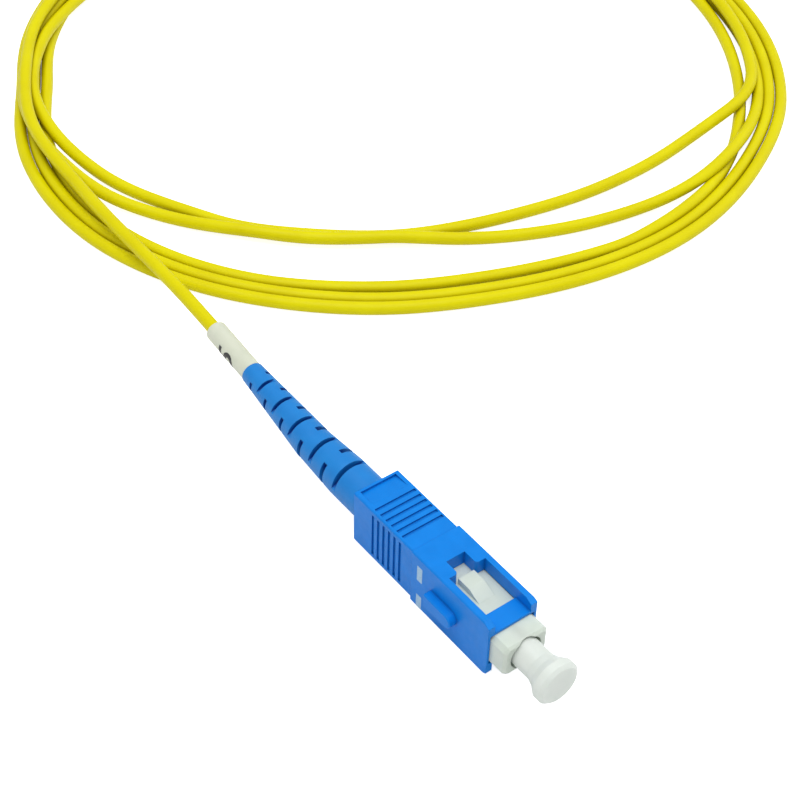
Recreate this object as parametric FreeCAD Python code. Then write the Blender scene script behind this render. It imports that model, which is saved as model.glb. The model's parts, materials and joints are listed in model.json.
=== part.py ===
"""SC simplex fibre plug on a 2 mm single-fibre lead, with its dust cap.

All sizes are in millimetres. The origin is on the optical axis, 0.6 mm behind the front edge of
the grip housing. The ferrule points along -Y, the lead leaves along +Y, and +Z is up. The plug
lies on one of its two windowed faces, so the surface that it rests on is at half the housing's
height below the axis. Each piece is one solid in parts/, and the boot and the lead follow one
gentle bend to the side.
"""
import FreeCAD, Part
import math
import os

V = FreeCAD.Vector
AHEAD = V(0, 1, 0)

# ---- fits and clearances -------------------------------------------------------------------
SLIDE_FIT = 0.05        # frame in housing, each side
BOOT_FIT = 0.10         # boot in the housing's rear opening, each side
BOOT_WAY_EXTRA = 0.5    # round opening beyond the boot's front when the housing is drawn back
CAP_FIT = 0.03          # ferrule in the dust cap, each side
NECK_FIT = 0.30         # cap neck in the frame's front socket, each side
FERRULE_HOLE_FIT = 0.10  # ferrule through the frame's stop wall, each side
HUB_FIT = 0.08          # flange and stop ring in the frame's bore, each side
SEAT_GAP = 0.02         # flat faces of two bodies that rest on each other
TUBE_FIT = 0.04         # tubes that lie in one another, each side
SNAP_GAP = 0.05         # round a snap lug in its pocket

# ---- travel --------------------------------------------------------------------------------
GRIP_TRAVEL = 1.8       # the grip housing slides back this far to let go of the adapter
FLOAT_TRAVEL = 1.0      # the ferrule is pushed back this far when it mates

# ---- grip housing --------------------------------------------------------------------------
GRIP_WIDTH = 7.4        # across X
GRIP_HEIGHT = 9.0       # along Z
GRIP_FRONT = 0.6        # its front edge stands this far ahead of the origin
GRIP_END = 26.2
FRONT_END = 14.1        # the larger front section ends here
REAR_INSET = 0.22       # the rear section is this much smaller on every side
GRIP_EDGE = 0.30        # rounding of the long edges
STEP_EDGE = 0.15
NOSE_BEVEL_LENGTH = 1.0  # the side walls fall away to the front over this length
NOSE_BEVEL_DEPTH = 0.5
CHANNEL_WIDTH = 5.5     # latch channel in the upper and lower faces
BRIDGE_END = 2.15       # bar across the channel's front, from the front edge to here
BRIDGE_THICKNESS = 0.40
WINDOW_END = 8.05       # the wide part of the window ends here
NOTCH_WIDTH = 2.8
NOTCH_END = 10.35
EAR_ROUND = 0.45
KEY_HEIGHT = 1.2
KEY_WIDTH = 2.1
KEY_START = 5.1         # tip of the key's rounded front end
KEY_END = 10.2
KEY_EDGE = 0.15
RIB_GROOVES = 6
RIB_FIRST = 22.2        # middle of the groove nearest the boot
RIB_PITCH = 1.1
RIB_TOP_WIDTH = 0.45
RIB_TOP_DEPTH = 0.25
RIB_TOP_SPAN = 6.2
RIB_SIDE_WIDTH = 0.5
RIB_SIDE_DEPTH = 0.22
RIB_SIDE_SPAN = 7.1
THUMB_WIDTH = 5.5       # shallow sloping recess behind the ribs
THUMB_START = 23.3
THUMB_RIM = 0.35
THUMB_DEPTH = 0.35

# ---- plug frame ----------------------------------------------------------------------------
FRAME_WIDTH = 6.6
FRAME_TAIL_WIDTH = 6.0  # narrower behind its shoulder, where the housing's rear grip is
FRAME_SHOULDER = 13.3
FRAME_HEIGHT = 4.8
FRAME_FRONT = 3.3       # stands this far out of the housing
FRAME_END = 16.5
FRAME_CHAMFER = 0.6    # corners of the nose
FRAME_LEAD_IN = 0.35
STOP_WALL_FRONT = 2.2
STOP_WALL = 1.0
FRAME_BORE = 4.5
LATCH_WIDTH = 2.4       # ramped block seen in the window
LATCH_TOP = 3.3         # its height above the axis
LATCH_START = 4.2
LATCH_CREST = 6.2
LATCH_END = 8.2
SNAP_WIDTH = 3.0        # small lugs that hold the frame in the housing
SNAP_HEIGHT = 0.55
SNAP_START = 13.2
SNAP_CREST = 14.4
SNAP_END = 15.4
CATCH_START = 13.4      # side windows that take the stop ring's catches
CATCH_LENGTH = 1.8
CATCH_WIDTH = 2.2

# ---- ferrule and its flange ----------------------------------------------------------------
FERRULE_DIAMETER = 2.5
FERRULE_TIP = -3.25
FERRULE_LENGTH = 10.5
FERRULE_CHAMFER = 0.35
FERRULE_BORE = 0.14
FIBRE_DIAMETER = 0.125
HEX_FLATS = 3.75        # hexagonal head of the flange
HEX_LENGTH = 2.0
HUB_FLOOR = 0.37        # the hub reaches this far beyond the ferrule's end
TAIL_DIAMETER = 2.1
TAIL_END = 11.0
TAIL_BORE = 1.1
KEYWAY_WIDTH = 0.5
KEYWAY_DEPTH = 0.35

# ---- spring --------------------------------------------------------------------------------
WIRE_DIAMETER = 0.42
SPRING_DIAMETER = 3.3   # at the middle of the wire
SPRING_TURNS = 4.0
WIRE_SIDES = 4          # the wire is drawn with flat sides

# ---- stop ring, crimp ring and what they hold ----------------------------------------------
STOP_RING_START = 12.4
STOP_COLLAR = 5.6
COLLAR_LENGTH = 1.1
BARREL_DIAMETER = 3.1
BARREL_END = 23.6
KNURL_GROOVES = 1
KNURL_PITCH = 1.4
KNURL_DEPTH = 0.12
STOP_BORE = 1.7
CATCH_STAND = 0.5       # how far each catch stands out of the frame's bore
GUIDE_TUBE_DIAMETER = 1.62
GUIDE_TUBE_BORE = 1.0
GUIDE_TUBE_END = 24.8
BUFFER_DIAMETER = 0.9
BUFFER_START = 9.9
YARN_THICKNESS = 0.18
YARN_START = 18.6
CRIMP_WALL = 0.32
CRIMP_START = 18.3
CRIMP_STEP = 24.2       # the crimp ring narrows to the jacket here
CRIMP_END = 28.6
CRIMP_CONE = 1.0        # length of the step between its two ends
CRIMP_LIP = 0.6         # left round at each end of the crimped length
CRIMP_FLAT = 0.12       # depth of the six crimped flats

# ---- boot ----------------------------------------------------------------------------------
BOOT_START = 19.5
BOOT_DIAMETER = 5.9
BOOT_TIP_DIAMETER = 3.3
BOOT_TAPER_START = 32.5
BOOT_LENGTH = 36.5      # along its middle
BOOT_BEND_DEG = 4.2     # the boot bends a little to the side, at one of its side slots
BOOT_BEND_SLOT = 3      # counted from the housing, from 0
BOOT_BEND_EVEN = 1.0    # the boot keeps one diameter over this length, so that its bend meets
SLOT_LEVELS = 10        # a pair of slots each, turned a quarter turn from the last
SLOT_FIRST = 31.4       # middle of the slots nearest the housing
SLOT_TURN_DEG = 20.0    # how far the boot is turned on the lead
SLOT_PITCH = 2.9
SLOT_PITCH_LOSS = 0.11  # each pitch is this much shorter than the one before
SLOT_WIDTH = 0.75
SLOT_WIDTH_LOSS = 0.02
SLOT_CORE = 1.2         # left between a slot's floor and the boot's middle
SLOT_HALF_DEG = 66.0

# ---- dust cap ------------------------------------------------------------------------------
CAP_NECK_DIAMETER = 4.1
CAP_NECK_END = 1.1      # clear of the stop wall when the ferrule is pushed right back
CAP_FLARE_START = -5.9
CAP_WAIST_END = -7.0    # the flare opens more steeply from here
CAP_WAIST_DIAMETER = 4.8
CAP_RIM_START = -8.0
CAP_TIP = -9.4
CAP_RIM_DIAMETER = 6.1
CAP_BORE_END = -4.4
CAP_EDGE = 0.45

# ---- lead ----------------------------------------------------------------------------------
CORD_DIAMETER = 2.0
JACKET_START = 25.2     # just inside the crimp ring's narrow end
JACKET_BORE = 1.0
MARKER_DIAMETER = 3.1
MARKER_LENGTH = 10.2
MARKER_FIT = 0.05

# the lead's route after the boot's tip, chosen by hand; it ends inside the coil
LEAD_FIRST_RUN = 14.0
LEAD_ROUTE = ((5.9, 93.0, -1.1),)

# the coil lies on the surface; its edge waves in and out three times a turn
COIL_CENTRE = (65.8, 110.5)
COIL_MEAN_OUT = 67.1
COIL_WIDTH = 11.9       # across its turns, where they lie side by side
COIL_WAVE = 1.9
COIL_WAVE_AT_DEG = -160.0
COIL_HEIGHT = 4.4
FAN_DEPTH = 11.5        # the inner turns lie this much further in, nearest the plug
FAN_AT_DEG = -106.0
FAN_HALF_DEG = 84.0
EDGE_ARCS = 7

FLOOR = -GRIP_HEIGHT / 2


# ---- small helpers -------------------------------------------------------------------------
def block(width, y0, y1, z0, z1, x_mid=0.0):
    """A box of the given width, centred on x_mid, from y0 to y1 and z0 to z1."""
    return Part.makeBox(width, y1 - y0, z1 - z0, V(x_mid - width / 2, y0, z0))


def rod(diameter, y0, y1):
    """A cylinder on the optical axis."""
    return Part.makeCylinder(diameter / 2, y1 - y0, V(0, y0, 0), AHEAD)


def turned(profile):
    """A solid of revolution about the axis, from (y, radius) corners."""
    corners = [V(radius, y, 0) for y, radius in profile]
    face = Part.Face(Part.makePolygon(corners + corners[:1]))
    return face.revolve(V(0, 0, 0), AHEAD, 360)


def prism_x(outline, width):
    """An outline of (y, z) corners, as wide as width along X, centred on the axis."""
    corners = [V(-width / 2, y, z) for y, z in outline]
    face = Part.Face(Part.makePolygon(corners + corners[:1]))
    return face.extrude(V(width, 0, 0))


def hexagon(flats, y0, y1):
    """A hexagonal bar on the optical axis, with two of its flats facing up and down."""
    across = flats / math.cos(math.radians(30)) / 2
    corners = [V(across * math.cos(math.radians(60 * k)), y0,
                 across * math.sin(math.radians(60 * k))) for k in range(6)]
    return Part.Face(Part.makePolygon(corners + corners[:1])).extrude(V(0, y1 - y0, 0))


def both_faces(shape):
    """The shape together with its copy turned half a turn about the optical axis."""
    other = shape.copy()
    other.rotate(V(0, 0, 0), AHEAD, 180)
    return [shape, other]


def round_sweep(path, start, heading, diameter):
    """A round bar along a path of straight runs and tangent arcs."""
    ring = Part.Wire([Part.Circle(start, heading, diameter / 2).toShape()])
    return path.makePipe(Part.Face(ring))


def long_edges(shape, y_from, y_to, half_x, half_z):
    """Edges along Y that stand at the four outer corners of a rectangular length."""
    found = []
    for edge in shape.Edges:
        ends = [vertex.Point for vertex in edge.Vertexes]
        if len(ends) != 2 or abs(ends[0].x - ends[1].x) + abs(ends[0].z - ends[1].z) > 1e-6:
            continue
        at_corner = abs(abs(ends[0].x) - half_x) < 1e-6 and abs(abs(ends[0].z) - half_z) < 1e-6
        inside = min(ends[0].y, ends[1].y) > y_from - 1e-6 and max(ends[0].y, ends[1].y) < y_to + 1e-6
        if at_corner and inside:
            found.append(edge)
    return found


# ---- the line of the boot and the jacket, straight but for one small bend ------------------
def slot_place(level):
    """How far along the boot's line a relief slot is, measured from the housing's front."""
    place = SLOT_FIRST
    for earlier in range(level):
        place += SLOT_PITCH - earlier * SLOT_PITCH_LOSS
    return place


BEND = math.radians(BOOT_BEND_DEG)
BEND_PLACE = slot_place(BOOT_BEND_SLOT)
BEND_POINT = V(0, BEND_PLACE, 0)
TIP_HEADING = V(math.sin(BEND), math.cos(BEND), 0)
TIP_PLACE = BOOT_START + BOOT_LENGTH
BOOT_TIP = BEND_POINT + TIP_HEADING * (TIP_PLACE - BEND_PLACE)


def on_line(shape, place):
    """Moves a shape that was made round the origin on the Y axis to a place on the line."""
    beyond = place - BEND_PLACE
    heading = TIP_HEADING if beyond > 1e-6 else AHEAD
    placed = shape.copy()
    there = FreeCAD.Placement(BEND_POINT + heading * beyond, FreeCAD.Rotation(AHEAD, heading))
    placed.Placement = there.multiply(shape.Placement)
    return placed


def mitred(before, after):
    """Two solids that meet at the bend, each cut off at the plane halfway between them."""
    size = 4 * BOOT_DIAMETER
    half = Part.makeBox(size, 4 * BOOT_LENGTH, size, V(-size / 2, 0, -size / 2))
    half.Placement = FreeCAD.Placement(BEND_POINT, FreeCAD.Rotation(V(0, 0, 1), -BOOT_BEND_DEG / 2))
    return before.cut(half).fuse(after.common(half))


def bent_rod(diameter, y_start):
    """A round bar along the boot's line, from y_start to the boot's tip."""
    overlap = BOOT_DIAMETER
    before = rod(diameter, y_start, BEND_PLACE + overlap)
    after = Part.makeCylinder(diameter / 2, TIP_PLACE - BEND_PLACE + overlap,
                              BEND_POINT - TIP_HEADING * overlap, TIP_HEADING)
    return mitred(before, after)


# ---- grip housing --------------------------------------------------------------------------
def cavity_width(frame_width):
    """The housing's opening round a length of the frame."""
    return frame_width + 2 * SLIDE_FIT


def cavity_half_height():
    return FRAME_HEIGHT / 2 + SLIDE_FIT


def grip_shell():
    """The stepped outside of the housing, solid, with its edges rounded."""
    half_x, half_z = GRIP_WIDTH / 2, GRIP_HEIGHT / 2
    front = block(GRIP_WIDTH, -GRIP_FRONT, FRONT_END, -half_z, half_z)
    front = front.makeFillet(GRIP_EDGE, long_edges(front, -GRIP_FRONT, FRONT_END, half_x, half_z))
    low, high = -half_z + REAR_INSET, half_z - REAR_INSET
    rear = block(GRIP_WIDTH - 2 * REAR_INSET, FRONT_END - 1, GRIP_END, low, high)
    corners = long_edges(rear, FRONT_END - 1, GRIP_END, half_x - REAR_INSET, high)
    rear = rear.makeFillet(GRIP_EDGE, corners)
    return front.fuse(rear).removeSplitter()


def grip_key():
    """Rounded key on the broad face at -X."""
    half = KEY_WIDTH / 2
    inner = -GRIP_WIDTH / 2 + GRIP_EDGE
    bar = Part.makeBox(KEY_HEIGHT + GRIP_EDGE, KEY_END - KEY_START - half, KEY_WIDTH,
                       V(-GRIP_WIDTH / 2 - KEY_HEIGHT, KEY_START + half, -half))
    tip = Part.makeCylinder(half, KEY_HEIGHT + GRIP_EDGE, V(inner, KEY_START + half, 0), V(-1, 0, 0))
    key = bar.fuse(tip).removeSplitter()
    outer = [edge for edge in key.Edges
             if all(abs(v.Point.x + GRIP_WIDTH / 2 + KEY_HEIGHT) < 1e-6 for v in edge.Vertexes)]
    return key.makeChamfer(KEY_EDGE, outer)


def latch_channel():
    """What is cut from one windowed face: channel, window and the notch behind it."""
    top = GRIP_HEIGHT / 2
    bridge_top = cavity_half_height() + BRIDGE_THICKNESS
    channel = block(CHANNEL_WIDTH, -GRIP_FRONT - 1, WINDOW_END, bridge_top, top + 1)
    window = block(CHANNEL_WIDTH, BRIDGE_END, WINDOW_END, 0, top + 1)
    notch = block(NOTCH_WIDTH, WINDOW_END - 1, NOTCH_END, 0, top + 1)
    cut = channel.fuse([window, notch]).removeSplitter()
    ears = [edge for edge in cut.Edges
            if abs(edge.BoundBox.YLength) < 1e-6 and abs(edge.BoundBox.XLength) < 1e-6
            and abs(edge.BoundBox.YMin - WINDOW_END) < 1e-6
            and abs(abs(edge.BoundBox.XMin) - NOTCH_WIDTH / 2) < 1e-6]
    return cut.makeFillet(EAR_ROUND, ears)


def nose_bevel():
    """Wedge that slopes the side walls' ends down to the front of one windowed face."""
    top = GRIP_HEIGHT / 2
    front, end = -GRIP_FRONT, NOSE_BEVEL_LENGTH - GRIP_FRONT
    outline = [(front - 0.1, top - NOSE_BEVEL_DEPTH), (front, top - NOSE_BEVEL_DEPTH),
               (end, top), (end, top + 0.1), (front - 0.1, top + 0.1)]
    return prism_x(outline, GRIP_WIDTH + 2)


def rib_grooves():
    """Finger grooves across the rear of all four sides."""
    half_x = GRIP_WIDTH / 2 - REAR_INSET
    half_z = GRIP_HEIGHT / 2 - REAR_INSET
    cuts = []
    for index in range(RIB_GROOVES):
        y = RIB_FIRST - index * RIB_PITCH
        across = block(RIB_TOP_SPAN, y - RIB_TOP_WIDTH / 2, y + RIB_TOP_WIDTH / 2,
                       half_z - RIB_TOP_DEPTH, half_z + 1)
        upright = Part.makeBox(RIB_SIDE_DEPTH + 1, RIB_SIDE_WIDTH, RIB_SIDE_SPAN,
                               V(half_x - RIB_SIDE_DEPTH, y - RIB_SIDE_WIDTH / 2,
                                 -RIB_SIDE_SPAN / 2))
        cuts += both_faces(across) + both_faces(upright)
    return cuts


def thumb_recess():
    """Shallow recess that slopes down to a rim at the rear edge of one windowed face."""
    top = GRIP_HEIGHT / 2 - REAR_INSET
    end = GRIP_END - THUMB_RIM
    outline = [(THUMB_START, top), (end, top - THUMB_DEPTH), (end, top + 0.1),
               (THUMB_START, top + 0.1)]
    return prism_x(outline, THUMB_WIDTH)


def snap_pocket():
    """Pocket for one snap lug, longer than the lug by the housing's travel."""
    wall = cavity_half_height()
    top = FRAME_HEIGHT / 2 + SNAP_HEIGHT + SNAP_GAP
    start, crest = SNAP_START - GRIP_TRAVEL - SNAP_GAP, SNAP_CREST - GRIP_TRAVEL - SNAP_GAP
    outline = [(start, 0), (start, wall), (crest, top), (SNAP_END + SEAT_GAP, top),
               (SNAP_END + SEAT_GAP, 0)]
    return prism_x(outline, SNAP_WIDTH + 2 * SNAP_GAP)


def make_grip_housing():
    """Blue outer housing: a sleeve with a latch window in two faces and a key on a third."""
    half_z = cavity_half_height()
    front_cavity = block(cavity_width(FRAME_WIDTH), -GRIP_FRONT - 1, FRAME_SHOULDER + SEAT_GAP,
                         -half_z, half_z)
    rear_cavity = block(cavity_width(FRAME_TAIL_WIDTH), FRAME_SHOULDER, GRIP_END + 1,
                        -half_z, half_z)
    boot_way = rod(BOOT_DIAMETER + 2 * BOOT_FIT, BOOT_START - GRIP_TRAVEL - BOOT_WAY_EXTRA,
                   GRIP_END + 1)
    cuts = [front_cavity, rear_cavity, boot_way] + rib_grooves()
    for feature in (latch_channel(), nose_bevel(), thumb_recess(), snap_pocket()):
        cuts += both_faces(feature)
    return grip_shell().fuse(grip_key()).cut(cuts).removeSplitter()


# ---- plug frame ----------------------------------------------------------------------------
def frame_nose():
    """The frame's body: bevelled corners, a lead-in at the front and a narrower tail."""
    half_x, half_z = FRAME_WIDTH / 2, FRAME_HEIGHT / 2
    body = block(FRAME_WIDTH, -FRAME_FRONT, FRAME_SHOULDER, -half_z, half_z)
    corners = long_edges(body, -FRAME_FRONT, FRAME_SHOULDER, half_x, half_z)
    body = body.makeChamfer(FRAME_CHAMFER, corners)
    front = [edge for edge in body.Edges
             if all(abs(v.Point.y + FRAME_FRONT) < 1e-6 for v in edge.Vertexes)]
    tail = block(FRAME_TAIL_WIDTH, FRAME_SHOULDER - 1, FRAME_END, -half_z, half_z)
    return body.makeChamfer(FRAME_LEAD_IN, front).fuse(tail)


def latch_block():
    """Ramped block of one windowed face: the adapter's hook rides up it and drops behind it."""
    base = FRAME_HEIGHT / 2 - 0.2
    outline = [(LATCH_START, base), (LATCH_START, FRAME_HEIGHT / 2), (LATCH_CREST, LATCH_TOP),
               (LATCH_END, LATCH_TOP), (LATCH_END, base)]
    return prism_x(outline, LATCH_WIDTH)


def snap_lug():
    """Small lug that clicks into the housing: sloped in front, steep behind."""
    base = FRAME_HEIGHT / 2 - 0.2
    top = FRAME_HEIGHT / 2 + SNAP_HEIGHT
    outline = [(SNAP_START, base), (SNAP_START, FRAME_HEIGHT / 2), (SNAP_CREST, top),
               (SNAP_END, top), (SNAP_END, base)]
    return prism_x(outline, SNAP_WIDTH)


def make_plug_frame():
    """White inner frame that holds the ferrule and takes the adapter's latches."""
    wall_back = STOP_WALL_FRONT + STOP_WALL
    hole = FERRULE_DIAMETER + 2 * FERRULE_HOLE_FIT
    cuts = [rod(CAP_NECK_DIAMETER + 2 * NECK_FIT, -FRAME_FRONT - 1, STOP_WALL_FRONT),
            rod(hole, STOP_WALL_FRONT - 1, wall_back + 1),
            rod(FRAME_BORE, wall_back, FRAME_END + 1),
            block(FRAME_WIDTH + 1, CATCH_START, CATCH_START + CATCH_LENGTH,
                  -CATCH_WIDTH / 2, CATCH_WIDTH / 2)]
    lugs = both_faces(latch_block()) + both_faces(snap_lug())
    return frame_nose().fuse(lugs).cut(cuts).removeSplitter()


# ---- ferrule assembly ----------------------------------------------------------------------
FLANGE_START = STOP_WALL_FRONT + STOP_WALL + SEAT_GAP
FERRULE_END = FERRULE_TIP + FERRULE_LENGTH
HUB_END = FERRULE_END + HUB_FLOOR


def make_ferrule():
    """Ceramic ferrule with its fine bore."""
    radius, bore = FERRULE_DIAMETER / 2, FERRULE_BORE / 2
    return turned([(FERRULE_TIP, bore), (FERRULE_TIP, radius - FERRULE_CHAMFER),
                   (FERRULE_TIP + FERRULE_CHAMFER, radius), (FERRULE_END, radius),
                   (FERRULE_END, bore)])


def make_glass_fibre():
    """The bare glass in the ferrule's bore."""
    return rod(FIBRE_DIAMETER, FERRULE_TIP, BUFFER_START - 1.2)


def make_ferrule_flange():
    """Metal holder pressed on the ferrule: hexagonal head, spring hub and tail tube."""
    head = hexagon(HEX_FLATS, FLANGE_START, FLANGE_START + HEX_LENGTH)
    hub_diameter = FRAME_BORE - 2 * HUB_FIT
    hub = rod(hub_diameter, FLANGE_START + HEX_LENGTH, HUB_END)
    tail = rod(TAIL_DIAMETER, HUB_END, TAIL_END)
    keyway = block(KEYWAY_WIDTH, FLANGE_START + HEX_LENGTH - 0.1, HUB_END + 0.1,
                   hub_diameter / 2 - KEYWAY_DEPTH, hub_diameter)
    cuts = [rod(FERRULE_DIAMETER, FLANGE_START - 1, FERRULE_END), rod(TAIL_BORE, 0, TAIL_END + 1)]
    return head.fuse([hub, tail]).cut(cuts + both_faces(keyway)).removeSplitter()


def make_ferrule_spring():
    """Coil spring between the flange's hub and the stop ring."""
    wire = WIRE_DIAMETER / 2
    start = HUB_END + wire + SEAT_GAP
    length = STOP_RING_START - wire - SEAT_GAP - start
    helix = Part.makeHelix(length / SPRING_TURNS, length, SPRING_DIAMETER / 2)
    corners = [V(SPRING_DIAMETER / 2 + wire * math.cos(math.radians(360 * k / WIRE_SIDES)),
                 0, wire * math.sin(math.radians(360 * k / WIRE_SIDES))) for k in range(WIRE_SIDES)]
    section = Part.makePolygon(corners + corners[:1])
    spring = Part.Wire(helix.Edges).makePipeShell([section], True, True)
    spring.rotate(V(0, 0, 0), V(1, 0, 0), -90)
    spring.translate(V(0, start, 0))
    return spring


# ---- rear hardware -------------------------------------------------------------------------
def make_stop_ring():
    """Metal body behind the spring: catches, collar and a grooved barrel for the crimp."""
    neck = rod(FRAME_BORE - 2 * HUB_FIT, STOP_RING_START, FRAME_END)
    collar = rod(STOP_COLLAR - 2 * SLIDE_FIT, FRAME_END, FRAME_END + COLLAR_LENGTH)
    collar = collar.common(block(STOP_COLLAR, FRAME_END, FRAME_END + COLLAR_LENGTH,
                                 -FRAME_HEIGHT / 2, FRAME_HEIGHT / 2))
    barrel = rod(BARREL_DIAMETER, FRAME_END + COLLAR_LENGTH, BARREL_END)
    catch_length = CATCH_LENGTH - 2 * SNAP_GAP
    catch = Part.makeBox(FRAME_BORE / 2 + CATCH_STAND, catch_length, CATCH_WIDTH - 2 * SNAP_GAP,
                         V(0, CATCH_START + SNAP_GAP, -CATCH_WIDTH / 2 + SNAP_GAP))
    body = neck.fuse([collar, barrel] + both_faces(catch))
    outer = BARREL_DIAMETER / 2
    grooves = []
    for index in range(KNURL_GROOVES):
        y = BARREL_END - 0.8 - index * KNURL_PITCH
        grooves.append(turned([(y, outer + 0.1), (y, outer - KNURL_DEPTH),
                               (y + KNURL_PITCH / 2, outer - KNURL_DEPTH),
                               (y + KNURL_PITCH / 2, outer + 0.1)]))
    return body.cut([rod(STOP_BORE, 0, BARREL_END + 1)] + grooves).removeSplitter()


def make_guide_tube():
    """Thin plastic tube that leads the buffered fibre through the stop ring."""
    tube = rod(GUIDE_TUBE_DIAMETER, STOP_RING_START, GUIDE_TUBE_END)
    return tube.cut(rod(GUIDE_TUBE_BORE, 0, GUIDE_TUBE_END + 1))


def make_aramid_yarn():
    """The lead's strength yarn, folded over the barrel under the crimp ring."""
    sleeve = rod(BARREL_DIAMETER + 2 * YARN_THICKNESS, YARN_START, CRIMP_STEP)
    return sleeve.cut(rod(BARREL_DIAMETER, 0, CRIMP_STEP + 1))


def make_crimp_ring():
    """Crimped metal sleeve: the wide end holds the yarn, the narrow end holds the jacket."""
    wide = BARREL_DIAMETER / 2 + YARN_THICKNESS
    tight = CORD_DIAMETER / 2
    outer, cone_end = wide + CRIMP_WALL, CRIMP_STEP + CRIMP_CONE
    body = turned([(CRIMP_START, 0), (CRIMP_START, outer), (CRIMP_STEP, outer),
                   (cone_end, tight + CRIMP_WALL), (CRIMP_END, tight + CRIMP_WALL), (CRIMP_END, 0)])
    pressed_end = CRIMP_STEP - CRIMP_LIP
    round_bar = rod(2 * outer, CRIMP_START + CRIMP_LIP, pressed_end)
    pressed = round_bar.cut(hexagon(2 * (outer - CRIMP_FLAT), CRIMP_START, CRIMP_STEP))
    return body.cut([pressed, rod(2 * wide, CRIMP_START - 1, CRIMP_STEP),
                     rod(2 * tight, CRIMP_START, CRIMP_END + 1)])


def make_tight_buffer():
    """Buffered fibre from the ferrule's tail to the boot's tip."""
    return bent_rod(BUFFER_DIAMETER, BUFFER_START)


def make_cable_jacket():
    """The end of the lead's jacket, from the crimp to the boot's tip."""
    return bent_rod(CORD_DIAMETER, JACKET_START).cut(bent_rod(JACKET_BORE, JACKET_START))


# ---- boot ----------------------------------------------------------------------------------
def boot_outside():
    """Round body with a straight taper to the tip, bent a little at one of its slots."""
    even, bend = BOOT_BEND_EVEN / 2, BEND_PLACE - BOOT_START
    at_bend = boot_radius(BEND_PLACE)
    body = turned([(0, 0), (0, BOOT_DIAMETER / 2), (BOOT_TAPER_START - BOOT_START, BOOT_DIAMETER / 2),
                   (bend - even, at_bend), (bend + even, at_bend),
                   (BOOT_LENGTH, BOOT_TIP_DIAMETER / 2), (BOOT_LENGTH, 0)])
    before, after = body.copy(), body.copy()
    before.translate(V(0, BOOT_START, 0))
    after.translate(V(0, BOOT_START - BEND_PLACE, 0))
    after.Placement = FreeCAD.Placement(BEND_POINT, FreeCAD.Rotation(AHEAD, TIP_HEADING)
                                        ).multiply(after.Placement)
    return mitred(before, after)


def slot_cut(width, radius, turned_deg):
    """Saw cut across one side of the boot, made round the origin; turned 0 faces +X, 90 +Z."""
    floor = max(SLOT_CORE, radius * math.cos(math.radians(SLOT_HALF_DEG)))
    cut = Part.makeBox(BOOT_DIAMETER, width, 2 * BOOT_DIAMETER,
                       V(floor, -width / 2, -BOOT_DIAMETER))
    cut.rotate(V(0, 0, 0), AHEAD, -turned_deg)
    return cut


def boot_radius(place):
    """The boot's outer radius at a place on its line."""
    share = (place - BOOT_TAPER_START) / (TIP_PLACE - BOOT_TAPER_START)
    return (BOOT_DIAMETER + max(0.0, share) * (BOOT_TIP_DIAMETER - BOOT_DIAMETER)) / 2


def boot_slots():
    """Relief slots: a pair at each level, turned a quarter turn from the pair before."""
    cuts = []
    for level in range(SLOT_LEVELS):
        width = SLOT_WIDTH - level * SLOT_WIDTH_LOSS
        place = slot_place(level)
        first = 90.0 * (level + 1) + SLOT_TURN_DEG
        for turned_deg in (first, first + 180.0):
            cuts.append(on_line(slot_cut(width, boot_radius(place), turned_deg), place))
    return cuts


def make_boot():
    """Soft tapered bend relief, pushed over the crimp ring."""
    wide_bore = BARREL_DIAMETER + 2 * (YARN_THICKNESS + CRIMP_WALL)
    bores = [rod(wide_bore, BOOT_START - 1, CRIMP_STEP + CRIMP_CONE),
             rod(CORD_DIAMETER + 2 * CRIMP_WALL, BOOT_START, CRIMP_END),
             bent_rod(CORD_DIAMETER, BOOT_START)]
    return boot_outside().cut(boot_slots() + bores)


# ---- dust cap ------------------------------------------------------------------------------
def make_dust_cap():
    """Soft cap on the ferrule, with a neck in the frame's socket and a flared end to pull."""
    neck, waist, rim = CAP_NECK_DIAMETER / 2, CAP_WAIST_DIAMETER / 2, CAP_RIM_DIAMETER / 2
    bore = FERRULE_DIAMETER / 2 + CAP_FIT
    return turned([(CAP_NECK_END, bore), (CAP_NECK_END, neck), (CAP_FLARE_START, neck),
                   (CAP_WAIST_END, waist), (CAP_RIM_START, rim), (CAP_TIP + CAP_EDGE, rim),
                   (CAP_TIP, rim - CAP_EDGE), (CAP_TIP, 0), (CAP_BORE_END, 0),
                   (CAP_BORE_END, bore)])


# ---- marker sleeve, lead and coil ----------------------------------------------------------
def make_marker_sleeve():
    """Plastic marker tube pushed up the lead to the boot's tip."""
    start = BOOT_TIP + TIP_HEADING * SEAT_GAP
    tube = Part.makeCylinder(MARKER_DIAMETER / 2, MARKER_LENGTH, start, TIP_HEADING)
    bore = CORD_DIAMETER / 2 + MARKER_FIT
    return tube.cut(Part.makeCylinder(bore, MARKER_LENGTH + 2, start - TIP_HEADING, TIP_HEADING))


def rounded_route(points):
    """Straight runs joined by arcs as large as the runs allow; returns the wire and the radii."""
    edges, radii = [], []
    here = points[0]
    for before, corner, after in zip(points, points[1:], points[2:]):
        arriving, leaving = corner - before, after - corner
        cut_back = 0.45 * min(arriving.Length, leaving.Length)
        half_turn = arriving.getAngle(leaving) / 2
        radius = cut_back / math.tan(half_turn)
        arriving.normalize()
        leaving.normalize()
        arc_start, arc_end = corner - arriving * cut_back, corner + leaving * cut_back
        inward = leaving - arriving
        inward.normalize()
        arc_middle = corner + inward * (radius / math.cos(half_turn) - radius)
        edges.append(Part.LineSegment(here, arc_start).toShape())
        edges.append(Part.Arc(arc_start, arc_middle, arc_end).toShape())
        radii.append(radius)
        here = arc_end
    edges.append(Part.LineSegment(here, points[-1]).toShape())
    return Part.Wire(edges), radii


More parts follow.
